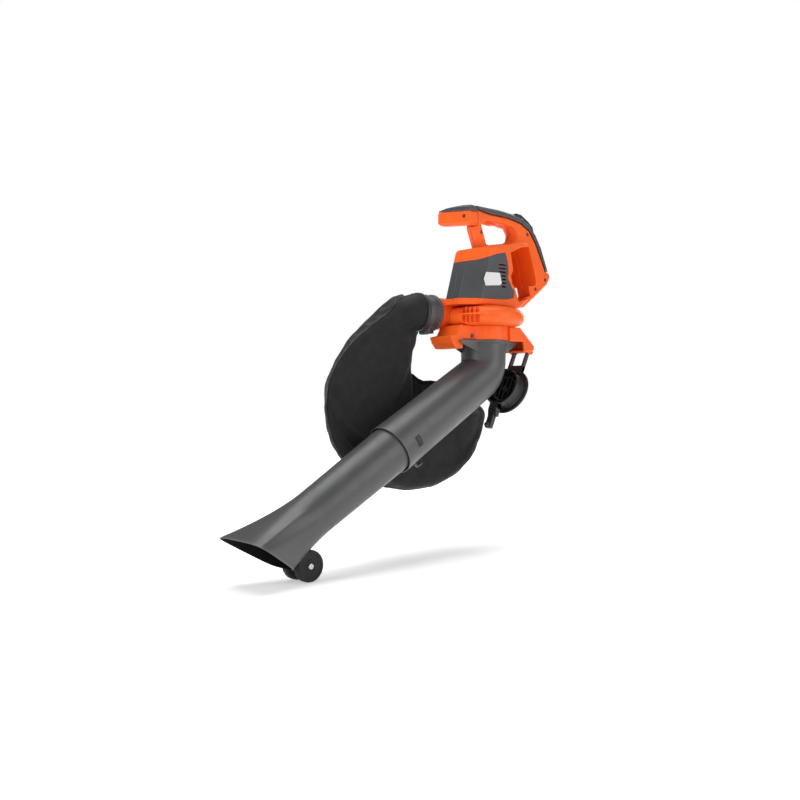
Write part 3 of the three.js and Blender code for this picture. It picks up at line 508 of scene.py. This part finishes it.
def lower_tube():
    n, steps = 160, 36
    outer = [(290, 54.6), (291, 55.6), (296, 55.6), (299, 54)]
    outer += [(s, 54 - 5.5 * (s - 299) / 291) for s in range(305, FLARE_START, 8)]
    rings = [circle(along(s), RISE, Y, r, n) for s, r in outer]
    rings += [nozzle_ring(k / steps, 0, n) for k in range(steps + 1)]
    outer_rim, inner_rim = mouth_rim(0, n), mouth_rim(WALL, n)
    lip = AXIS * 0.9
    rings.append([a.lerp(b, 0.5) + lip for a, b in zip(outer_rim, inner_rim)])
    rings += [nozzle_ring(k / steps, WALL, n) for k in range(steps, -1, -1)]
    rings += [circle(along(s), RISE, Y, r - WALL, n) for s, r in reversed(outer[4:])]
    rings.append(circle(along(290), RISE, Y, 52, n))
    tube = skinned("suction_tube_lower", rings, loop=True)
    wheel_arch = lathed("arch", [(0, -34), (37.1, -34), (37.1, 34), (0, 34)], (WHEEL_X, 0, WHEEL_Z), Y)
    full = [circle(along(s), RISE, Y, r, n) for s, r in ((540, 49.2), (590, 48.4))]
    full += [nozzle_ring(k / 12, 0.4, n) for k in range(1, 13)]
    inside = skinned("inside", full)
    arch = combined("INTERSECT", wheel_arch, inside)
    well = lathed("well", [(0, -31), (34.6, -31), (34.6, 31), (0, 31)], (WHEEL_X, 0, WHEEL_Z), Y)
    tube = cut(joined(tube, arch), well)
    tube.data.shade_smooth()
    tube.data.set_sharp_from_angle(angle=math.radians(38))
    # the tube's inner faces get a near-black painted shade
    return painted_shade_bore(finished(tube, "charcoal_plastic", stands_for=["lower_tube"]))


def tube_lock():
    """The ribbed press pad that locks the two tubes together."""
    pad = slab("tube_lock_pad", lock_outline(0), -59.2, -56.6, 0.9, 2.5, on_lock)
    ribs = []
    for z in (-8.4, -4.2, 0, 4.2, 8.4):
        outline = [(-4.6, z - 2.4), (4.6, z + 1), (4.6, z + 2.4), (-4.6, z - 1)]
        ribs.append(slab("rib", outline, -60.6, -58.8, 0.3, 0.3, on_lock))
    finished(merged("tube_lock_pad", pad, *ribs), "black_plastic", "tube_lock_button", ["tube_lock_button"])


def tube_release():
    """The round button on the base that frees the suction tube."""
    profile = [(0, -12.9), (4.7, -12.9), (4.7, -23.5), (0, -23.5)]
    button = lathed("tube_release_pad", profile, (-62, 0, 516), Y, 48)
    finished(button, "grey_plastic", "tube_release_button", ["tube_release_button"])


# ---------------------------------------------------------------- wheels
def wheels():
    for side, sign in (("left", -1), ("right", 1)):
        axis = Y * sign
        profile = [
            (4.3, -9), (28, -9), (WHEEL_R, -6.5), (WHEEL_R, 6), (29.8, 9), (25.5, 9), (24.6, 7.9),
            (13.5, 7.9), (12.6, 9), (8.6, 9), (7.6, 7.2), (4.3, 7.2),
        ]
        n = 192
        points = divided(rounded(profile, 0.9, 3), 3.5)
        rings = []
        for r, h in points:
            centre = Vector((WHEEL_X, sign * WHEEL_Y, WHEEL_Z)) + axis * h
            tread = 0.9 if r > WHEEL_R - 1 and abs(h) < 6.4 else 0
            ring = circle(centre, X, Z, r, n)
            for i in range(n):
                if i % 8 < 3:
                    ring[i] += (centre - ring[i]).normalized() * tread
            rings.append(ring)
        wheel = skinned(f"{side}_tyre", rings, loop=True, sharp=40)
        finished(wheel, "soft_rubber", f"{side}_wheel", [f"{side}_wheel"])
        cap = [
            (0, 0), (6.2, 0), (6.2, 1.6), (5.4, 2.6), (4.2, 2.6), (3.6, 1.9), (2.4, 1.9), (1.8, 2.8), (0, 3),
        ]
        hub = lathed(f"{side}_hub_ring", cap, (WHEEL_X, sign * HUB_Y, WHEEL_Z), axis, 48, soften=0.4)
        finished(hub, "steel", f"{side}_wheel", [f"{side}_hub_cap"])


# ---------------------------------------------------------------- fan housing
DUCT_AT = (0, 60, 571)  # where the outlet duct's axis, which runs along X, crosses X = 0


def scroll_rib(degrees):
    """A short upright rib in the recess, pointing away from the fan's axis."""
    c, s = polar(1, degrees)
    half = 1.3
    corners = ((80, 1), (93, 1), (93, -1), (80, -1))
    outline = [(r * c + side * half * s, r * s - side * half * c) for r, side in corners]
    return slab("rib", outline, 545, 582, 0, 0.3, cross=True)


def fan_housing():
    """The scroll: a turned drum that runs into the round outlet duct, with a stepped recess between them."""
    profile = [
        (0, 541), (78, 541), (90, 545), (97, 553), (97, 569), (89, 579), (76, 584.5), (60, 587.5), (0, 587.5),
    ]
    body = lathed("scroll", profile, (0, 0, 0), Z, 160, soften=5)
    duct = lathed("duct", [(0, -45), (38, -45), (38, 116), (0, 116)], DUCT_AT, -X, 96, soften=0.5)
    corners = ((84, -168), (84, -160), (84, -152), (86, -144), (110, -141), (110, -152), (110, -170))
    recess = [polar(r, a) for r, a in corners]
    pocket = slab("pocket", recess, 546, 600, 0, 1, cross=True)
    outer = cut(joined(body, duct), pocket)
    ribs = [scroll_rib(a) for a in (-163, -156, -149)]
    arc = [polar(104, a) for a in range(-172, -117, 5)]
    fin = slab("fin", arc + [(-40, -78), (-85, -15)], 563.2, 566.8, 0, 0.4, cross=True)
    outer = joined(outer, fin, *ribs)
    chamber = [(0, 544), (72, 544), (78, 547), (79.5, 553), (79.5, 570), (76, 580), (0, 580)]
    hollow = lathed("hollow", chamber, (0, 0, 0), Z, 96)
    hollow = joined(hollow, lathed("bore", [(0, -45), (35, -45), (35, 130), (0, 130)], DUCT_AT, -X, 96))
    mouth = lathed("mouth", [(0, 530), (46, 530), (46, 550), (0, 550)], (0, 0, 0), Z)
    shaft = lathed("shaft", [(0, 575), (13, 575), (13, 600), (0, 600)], (0, 0, 0), Z)
    whole = cut(outer, hollow, mouth, shaft)
    melted(whole, 1.3, 5)
    settled(whole)
    return finished(whole, "orange_plastic", stands_for=["upper_fan_housing", "lower_fan_housing"])


# ---------------------------------------------------------------- bag coupler
def coupler():
    profile = [
        (35, 117), (43.8, 117), (43.8, 121), (41.6, 122.5), (41.6, 140), (42.6, 141), (42.6, 144),
        (41.6, 145), (41.6, 153), (40.5, 155), (35, 155),
    ]
    ring = lathed("coupler_ring", profile, DUCT_AT, -X, 128, soften=0.7)
    groove = slab("groove", [(-156, 570.4), (-122, 570.4), (-122, 571.6), (-156, 571.6)], 15, 19.6, 0, 0.1)
    ring = cut(ring, groove)
    blocks = [box("ear", -143, -133, 60 + y, 63.7 + y, 525, 536) for y in (-16, 12.3)]
    finished(merged("coupler_ring", ring, *blocks), "grey_plastic", stands_for=["bag_coupler"])
    lever = [(-147, 520), (-118.5, 522), (-118.5, 527), (-126.5, 529), (-127, 533.5), (-145, 533.5)]
    latch = [slab("latch", lever, 49, 71, 1, 2)]
    latch += [box("grip", x, x + 1.6, 50.5, 69.5, 519.2, 521, 0.4) for x in (-144, -140.5, -137)]
    finished(merged("coupler_lever", *latch), "grey_plastic", "coupler_latch", ["coupler_latch"])
    clamp = [(43.4, 159.6), (45.2, 159.6), (45.2, 166.4), (43.4, 166.4)]
    band = lathed("bag_band", clamp, DUCT_AT, -X, 96, soften=0.4)
    finished(band, "black_plastic", stands_for=["bag_clamp"])


# ---------------------------------------------------------------- inlet cover, hanging open behind the tube
COVER_AT, COVER_TILT, COVER_DROP = Vector((142, 0, 484)), math.radians(25.5), 110
COVER_TURN = Matrix.Rotation(COVER_TILT, 3, "Y")


def on_cover(p):
    return COVER_AT + COVER_TURN @ p


def inlet_cover():
    outwards = COVER_TURN @ -X
    centre = on_cover(Vector((0, 0, -COVER_DROP)))
    cup = [
        (0, 0), (57, 0), (59, 1.5), (59, 4), (57.5, 5.5), (49, 6), (47.2, 8), (47, 27), (48.2, 28),
        (48.2, 34), (44.6, 34), (44, 30), (44, 7), (36, 5), (0, 5),
    ]
    parts = [lathed("cup", cup, centre, outwards, 128, soften=0.9)]
    for y in (-24, 18):
        arm = [(-8, -65), (3, -65), (3, -3), (7, 0), (5, 6), (-3, 7), (-7, 3)]
        parts.append(slab("arm", arm, y, y + 6, 0.8, 3, on_cover))
    parts.append(slab("bridge", [(-8, -61), (3, -61), (3, -40), (-8, -40)], -24, 24, 1, 1.5, on_cover))
    cheek = [(-40, -176), (-34, -190), (-24, -190), (-24, -157), (-40, -157)]
    parts += [slab("cheek", cheek, y, y + 3.5, 0.8, 2, on_cover) for y in (-13, 9.5)]
    tongue = [(-40, -171.5), (-24, -171.5), (-24, -155), (-40, -155)]
    parts.append(slab("tongue", tongue, -13, 13, 0.8, 2, on_cover))
    finished(merged("inlet_lid", *parts), "black_plastic", "inlet_cover", ["inlet_cover"])
    cover_grille(centre, outwards)
    cover_catch()


def cover_grille(centre, outwards):
    bars = [lathed("hub", [(30, 8.5), (34, 8.5), (34, 20), (30, 20)], centre, outwards, 96, soften=0.8)]
    bars.append(lathed("boss", [(0, 6), (9, 6), (9, 19), (6, 21), (0, 21)], centre, outwards, 64, soften=0.8))
    for y in (-28, -14, 0, 14, 28):
        reach = math.sqrt(39**2 - y * y)
        low, high = -COVER_DROP - reach, -COVER_DROP + reach
        outline = [(-19, low), (-8.5, low), (-8.5, high), (-19, high)]
        bars.append(slab("bar", outline, y - 1.5, y + 1.5, 0.6, 1, on_cover))
    finished(merged("lid_ribs", *bars), "black_plastic", "inlet_cover", ["cover_grille"])


def cover_catch():
    """The sliding catch below the cup, with a hooked tooth and four finger notches."""
    d = -COVER_DROP
    body = [(-38, d - 112), (-26, d - 112), (-26, d - 63), (-38, d - 63)]
    tooth = [(-44, d - 110), (-37, d - 110), (-37, d - 102), (-44, d - 102)]
    catch = [slab("catch", body, -8.8, 8.8, 1.2, 2.5, on_cover)]
    catch.append(slab("tooth", tooth, -6, 6, 0.8, 1.5, on_cover))
    for k in range(4):
        z = d - 88 + k * 5
        notch = [(-39.4, z), (-37, z), (-37, z + 2.2), (-39.4, z + 2.2)]
        catch.append(slab("notch", notch, -8, 8, 0.5, 0.6, on_cover))
    finished(merged("lid_catch", *catch), "black_plastic", "cover_catch", ["cover_catch"])


# ---------------------------------------------------------------- collecting bag
BAG_MID, BAG_HALF, BAG_EDGE_HALF = 106, 40, 21
# Some of the points of the next two outlines are places read off the photo, turned into mm by a helper script
# and rounded. They are not worked out from a few dimensions.
BAG_SEAM = [  # where the near panel meets the gusset, in X and Z
    (-168, 613), (-198, 592), (-226, 569), (-268, 543), (-307, 517), (-333, 497), (-356, 476), (-387, 438),
    (-405, 400), (-411, 350), (-404, 310), (-387, 266), (-368, 237), (-318, 198), (-240, 163), (-170, 151),
    (-85, 155), (-2, 182), (50, 224), (84, 276), (101, 327), (98, 352), (76, 375), (20, 396), (-62, 410),
    (-104, 411), (-128, 424), (-157, 436), (-156, 476), (-143, 494), (-139, 509), (-143, 526), (-166, 534),
    (-171, 560), (-171, 598),
]
BAG_BACK = [  # a place on that seam, in X and Z, and how far from it the back panel's seam stands
    (-165, 613, 46, 16), (-198, 592, 8, 24), (-226, 569, 0, 20), (-268, 543, 0, 7), (-307, 517, 2, -2),
    (-356, 476, 12, -10), (-387, 437, 22, -9), (-411, 350, 30, 0), (-370, 237, 24, 8), (-225, 161, 10, 10),
    (0, 182, -8, 10), (101, 327, -10, 0), (20, 396, -8, 0), (-104, 410, 0, 0), (-160, 476, 14, 0),
    (-150, 540, 34, 0),
]
# X, Y, Z and radius of the rings of the bag's neck
NECK_RINGS = ((-157, 60, 571, 42.3), (-166, 61, 573, 45), (-200, 84, 566, 35), (-240, 112, 545, 24))
# the least and the greatest Y of the cloth, and the greatest where the zip lies on it
BAG_NEAR_LIMIT, BAG_FAR_LIMIT, BAG_ZIP_LIMIT = 63.5, 152, 145.4
ZIP_X, ZIP_HALF, ZIP_BOTTOM, ZIP_TOP = -300, 26, 215, 465
LOBE_STEP = 32  # how far in mm the near panel steps back, in +Y, at the top of the bag's rear lobe
SIM_STEPS, SIM_CAP = 22, 11.0  # cloth steps, and how far in mm the cloth may move from its sewn shape


def outline_distance(points, outline):
    """Each point's distance to a closed outline in X and Z."""
    a = np.array([list(p) for p in outline], float)
    b = np.roll(a, -1, 0)
    best = np.full(len(points), 1e9)
    for start, end in zip(a, b):
        d = end - start
        t = np.clip(((points - start) @ d) / (d @ d), 0, 1)
        best = np.minimum(best, np.linalg.norm(points - start - t[:, None] * d, axis=1))
    return best


def far_shift(points):
    """How far the back of the bag stands off its near seam in X and Z, from the nearest known places."""
    total, weights = np.zeros((len(points), 2)), np.zeros(len(points))
    for x, z, dx, dz in BAG_BACK:
        weight = 1 / ((points[:, 0] - x) ** 2 + (points[:, 2] - z) ** 2 + 500)
        total += weight[:, None] * np.array([dx, dz])
        weights += weight
    return total[:, 0] / weights, total[:, 1] / weights


def bag_half(distance):
    """Half the bag's thickness at a distance inside its outline."""
    t = np.clip(distance / 62, 0, 1)
    return BAG_EDGE_HALF + (BAG_HALF - BAG_EDGE_HALF) * (1 - (1 - t) ** 2.4)


def in_mm(mesh):
    co = np.zeros(len(mesh.vertices) * 3)
    mesh.vertices.foreach_get("co", co)
    return co.reshape(-1, 3) * 1000 + np.array([GRIP_X, 0, GRIP_Z])


def put_mm(mesh, points):
    mesh.vertices.foreach_set("co", ((points - np.array([GRIP_X, 0, GRIP_Z])) / 1000).ravel())
    mesh.update()


def box_uv(mesh):
    """UVs in metres from whichever plane each face looks along."""
    layer = mesh.uv_layers.new(name="weave")
    for face in mesh.polygons:
        n = [abs(c) for c in face.normal]
        drop = n.index(max(n))
        u, v = [(1, 2), (0, 2), (0, 1)][drop]
        for loop in face.loop_indices:
            co = mesh.vertices[mesh.loops[loop].vertex_index].co
            layer.data[loop].uv = (co[u], co[v])


def shaped(points, outline):
    """The even slab's points moved to the filled bag's form.

    With them come each one's distance inside the outline, its place across the bag from -1 to 1, and how much
    it belongs to the neck from 0 to 1.
    """
    x, y, z = points.T
    at_coupler = smooth_steps((x + 190) / 18) * smooth_steps((z - 518) / 8) * smooth_steps((112 - y) / 10)
    neck = np.maximum(smooth_steps((66 - y) / 8), at_coupler)
    inside = outline_distance(points[:, [0, 2]], outline)
    side = np.clip((y - BAG_MID) / BAG_HALF, -1, 1)
    flat = BAG_MID + side * bag_half(inside)
    lobe = smooth_steps((x + 165) / 8) * smooth_steps((z - 330) / 45) * smooth_steps((450 - z) / 14)
    flat += np.where(side < 0, LOBE_STEP * lobe * (1 - neck), 0)
    made = points.copy()
    made[:, 1] = np.where(neck > 0, y * neck + flat * (1 - neck), flat)
    back = (side + 1) / 2 * (1 - neck)
    dx, dz = far_shift(points)
    made[:, 0] += dx * back
    made[:, 2] += dz * back
    return made, inside, side, neck


def inflated(sack, rest, held):
    """A short cloth simulation: the panels swell and crease between the held seams."""
    pin = sack.vertex_groups.new(name="seam")
    for i in np.flatnonzero(held):
        pin.add([int(i)], 1.0, "REPLACE")
    cloth = sack.modifiers.new("cloth", "CLOTH")
    settings = cloth.settings
    settings.quality = 5
    settings.mass = 0.25
    settings.tension_stiffness = 12
    settings.compression_stiffness = 5
    settings.bending_stiffness = 0.3
    settings.shrink_min = -0.045
    settings.use_pressure = True
    settings.uniform_pressure_force = 1.1
    settings.vertex_group_mass = "seam"
    settings.effector_weights.gravity = 0.3
    cloth.collision_settings.use_collision = False
    scene = bpy.context.scene
    for step in range(1, SIM_STEPS + 1):
        scene.frame_set(step)
    settled(sack)
    scene.frame_set(1)
    points = in_mm(sack.data)
    moved = points - rest
    length = np.linalg.norm(moved, axis=1)
    return rest + moved * np.minimum(1, SIM_CAP / np.maximum(length, 1e-6))[:, None]


def bag():
    outline = [tuple(p) for p in divided([tuple(q) for q in rounded(BAG_SEAM, 16, 4)], 9)]
    sack = slab("collecting_bag_cloth", outline, BAG_MID - BAG_HALF, BAG_MID + BAG_HALF, 0, 0.01)
    neck_form = skinned("neck", [circle(Vector((x, y, z)), Z, Y, r, 64) for x, y, z, r in NECK_RINGS])
    joined(sack, neck_form)
    remesh = sack.modifiers.new("even", "REMESH")
    remesh.mode = "VOXEL"
    remesh.voxel_size = 0.0058
    settled(sack)
    points, inside, side, neck = shaped(in_mm(sack.data), outline)
    put_mm(sack.data, points)
    smooth_part = sack.vertex_groups.new(name="shoulder")
    high = (points[:, 0] > -300) & (points[:, 2] > 480)
    for i in np.flatnonzero(high & ((points[:, 0] < -170) | (neck < 0.5))):
        smooth_part.add([int(i)], 1.0, "REPLACE")
    blend = sack.modifiers.new("blend", "SMOOTH")
    blend.vertex_group = "shoulder"
    blend.iterations = 12
    settled(sack)
    rest = in_mm(sack.data)
    points = rest
    seam = (inside < 5) & (np.abs(side) > 0.72)
    points = inflated(sack, rest, seam | ((neck > 0.5) & (rest[:, 0] > -185)))
    x, y, z = points.T
    y = np.where(neck > 0.5, y, np.maximum(y, BAG_NEAR_LIMIT))
    by_zip = (np.abs(x - ZIP_X) < ZIP_HALF) & (z > ZIP_BOTTOM) & (z < ZIP_TOP)
    points[:, 1] = np.where(by_zip, np.minimum(y, BAG_ZIP_LIMIT), np.minimum(y, BAG_FAR_LIMIT))
    put_mm(sack.data, points)
    relax = sack.modifiers.new("relax", "SMOOTH")
    relax.iterations = 2
    finer = sack.modifiers.new("finer", "SUBSURF")
    finer.levels = finer.render_levels = 1
    settled(sack)
    sack.data.shade_smooth()
    box_uv(sack.data)
    finished(sack, "bag_fabric", stands_for=["collecting_bag"])
    seam_weave = woven("seam_weave", (0.003, 0.003, 0.003), 0.0008)
    for name, across in (("bag_piping_near", -1), ("bag_piping_far", 1)):
        piping(name, outline, across, sack, seam_weave)


def piping(name, outline, across, sack, seam_weave):
    """The corded seam where a panel meets the gusset, laid on the sack's own surface."""
    flat = np.array([(p[0], BAG_MID + across * BAG_HALF, p[1]) for p in outline])
    made, _, _, _ = shaped(flat, outline)
    path = []
    for p in made:
        if p[0] < -167 or p[2] < 480:
            _, near, _, _ = sack.closest_point_on_mesh(row(p))
            path.append(design(near))
    start = max(range(len(path)), key=lambda i: (path[i] - path[i - 1]).length)
    path = path[start:] + path[:start]
    rings = []
    for i, p in enumerate(path):
        ahead = (path[min(i + 1, len(path) - 1)] - path[max(i - 1, 0)]).normalized()
        rings.append(circle(p, Y, ahead.cross(Y), 1.3, 10))
    piece = skinned(name, rings)
    box_uv(piece.data)
    finished(piece, "bag_fabric")
    piece.data.materials[0] = seam_weave


# ---------------------------------------------------------------- carried-over CAD nodes
MELT = {  # voxel in mm and passes, for nodes that keep their CAD shape with soft moulded edges
    "left_shell": (1.15, 4), "right_shell": (1.25, 4), "left_motor_cover": (0.9, 3),
    "right_motor_cover": (0.9, 3), "inlet_base": (1.1, 3), "handle_grip_cap": (0.9, 4),
    "control_panel": (0.7, 2), "front_handle": (0.8, 5), "front_handle_cap": (0.8, 4), "trigger": (0.6, 3),
    "strap_hook": (0.6, 2), "battery_terminals": (0.7, 2), "battery_rail_lower": (0.6, 2),
    "battery_rail_upper": (0.6, 2), "wheel_bracket": (0.8, 3), "side_badge": (0.4, 2),
    "power_button": (0.4, 3), "boost_button": (0.4, 3), "impeller": (0.9, 3),
}


def dress_cad():
    blackened = metal("blackened_steel", (0.11, 0.1, 0.1), 0.45)
    for item in frame["record"]["subparts"]:
        node = NODES[item["node"]]
        node.data.materials.clear()
        node.data.materials.append(blackened if "screw" in item["node"] else MATERIALS[item["material_slot"]])
    for name, (voxel, passes) in MELT.items():
        melted(NODES[name], voxel, passes)


# ---------------------------------------------------------------- studio
def area_light(name, place, target, size, power):
    data = bpy.data.lights.new(name, "AREA")
    data.shape = "RECTANGLE"
    data.size, data.size_y = size
    data.energy = power
    lamp = bpy.data.objects.new(name, data)
    bpy.context.scene.collection.objects.link(lamp)
    lamp.location = place
    lamp.rotation_euler = (Vector(target) - Vector(place)).to_track_quat("-Z", "Y").to_euler()


def camera():
    scene = bpy.context.scene
    data = bpy.data.cameras.new("camera")
    data.lens, data.sensor_width = 41.04, 36
    made = bpy.data.objects.new("camera", data)
    scene.collection.objects.link(made)
    made.location = (-1.6495, -1.5004, -0.438)
    made.rotation_euler = (math.radians(90), 0, math.radians(-42))
    scene.camera = made
    scene.view_settings.view_transform = "Standard"


def background():
    """White behind the object, and a faint white light from all round."""
    world = bpy.data.worlds.new("studio")
    world.use_nodes = True
    tree = world.node_tree
    light, seen = tree.nodes["Background"], tree.nodes.new("ShaderNodeBackground")
    for node, strength in ((light, 0.16), (seen, 1.0)):
        node.inputs["Color"].default_value = (1, 1, 1, 1)
        node.inputs["Strength"].default_value = strength
    path = tree.nodes.new("ShaderNodeLightPath")
    mix = tree.nodes.new("ShaderNodeMixShader")
    tree.links.new(path.outputs["Is Camera Ray"], mix.inputs["Fac"])
    tree.links.new(light.outputs[0], mix.inputs[1])
    tree.links.new(seen.outputs[0], mix.inputs[2])
    tree.links.new(mix.outputs[0], tree.nodes["World Output"].inputs["Surface"])
    bpy.context.scene.world = world


def lay_floor():
    """A plain pale floor that glows as painted light, more strongly away from the object, so that it fades
    into the white background.
    """
    far = 30
    corners = [(x, y, FLOOR_Z) for x, y in ((-far, -far), (far, -far), (far, far), (-far, far))]
    mesh = bpy.data.meshes.new("floor")
    mesh.from_pydata(corners, [], [(0, 1, 2, 3)])
    floor = bpy.data.objects.new("floor", mesh)
    bpy.context.scene.collection.objects.link(floor)
    g = Graph("pale_floor")
    pale = g.mixed(g.ranged(g.noise(3, 3), 0, 1), (0.89, 0.89, 0.89), (0.93, 0.93, 0.93))
    g.join(pale, g.shader.inputs["Base Color"])
    g.shader.inputs["Roughness"].default_value = 0.6
    g.shader.inputs["Specular IOR Level"].default_value = 0.2
    # painted light: the floor glows, from strength 0.42 within 1.1 m of the grip to 1.0 beyond 2.8 m
    span = g.node("ShaderNodeVectorMath", operation="LENGTH")
    g.join(g.place, span.inputs[0])
    g.join(g.ranged(span.outputs["Value"], 0.42, 1.0, 1.1, 2.8), g.shader.inputs["Emission Strength"])
    g.shader.inputs["Emission Color"].default_value = (1, 1, 1, 1)
    floor.data.materials.append(g.material)


def lights():
    area_light("key", (1.0, -2.7, 0.6), (-0.15, 0, -0.4), (1.8, 2.2), 32)
    area_light("overhead", (-0.3, 0.5, 2.4), (-0.3, 0.1, -0.6), (3.0, 2.4), 80)
    area_light("left", (-3.0, -0.2, 0.9), (-0.2, 0, -0.3), (0.8, 2.2), 34)
    area_light("rear", (2.4, 0.9, 0.7), (0.1, 0, -0.1), (0.8, 1.8), 18)


camera()
background()
lay_floor()
lights()
upper_tube()
lower_tube()
tube_lock()
tube_release()
wheels()
fan_housing()
coupler()
inlet_cover()
bag()
dress_cad()
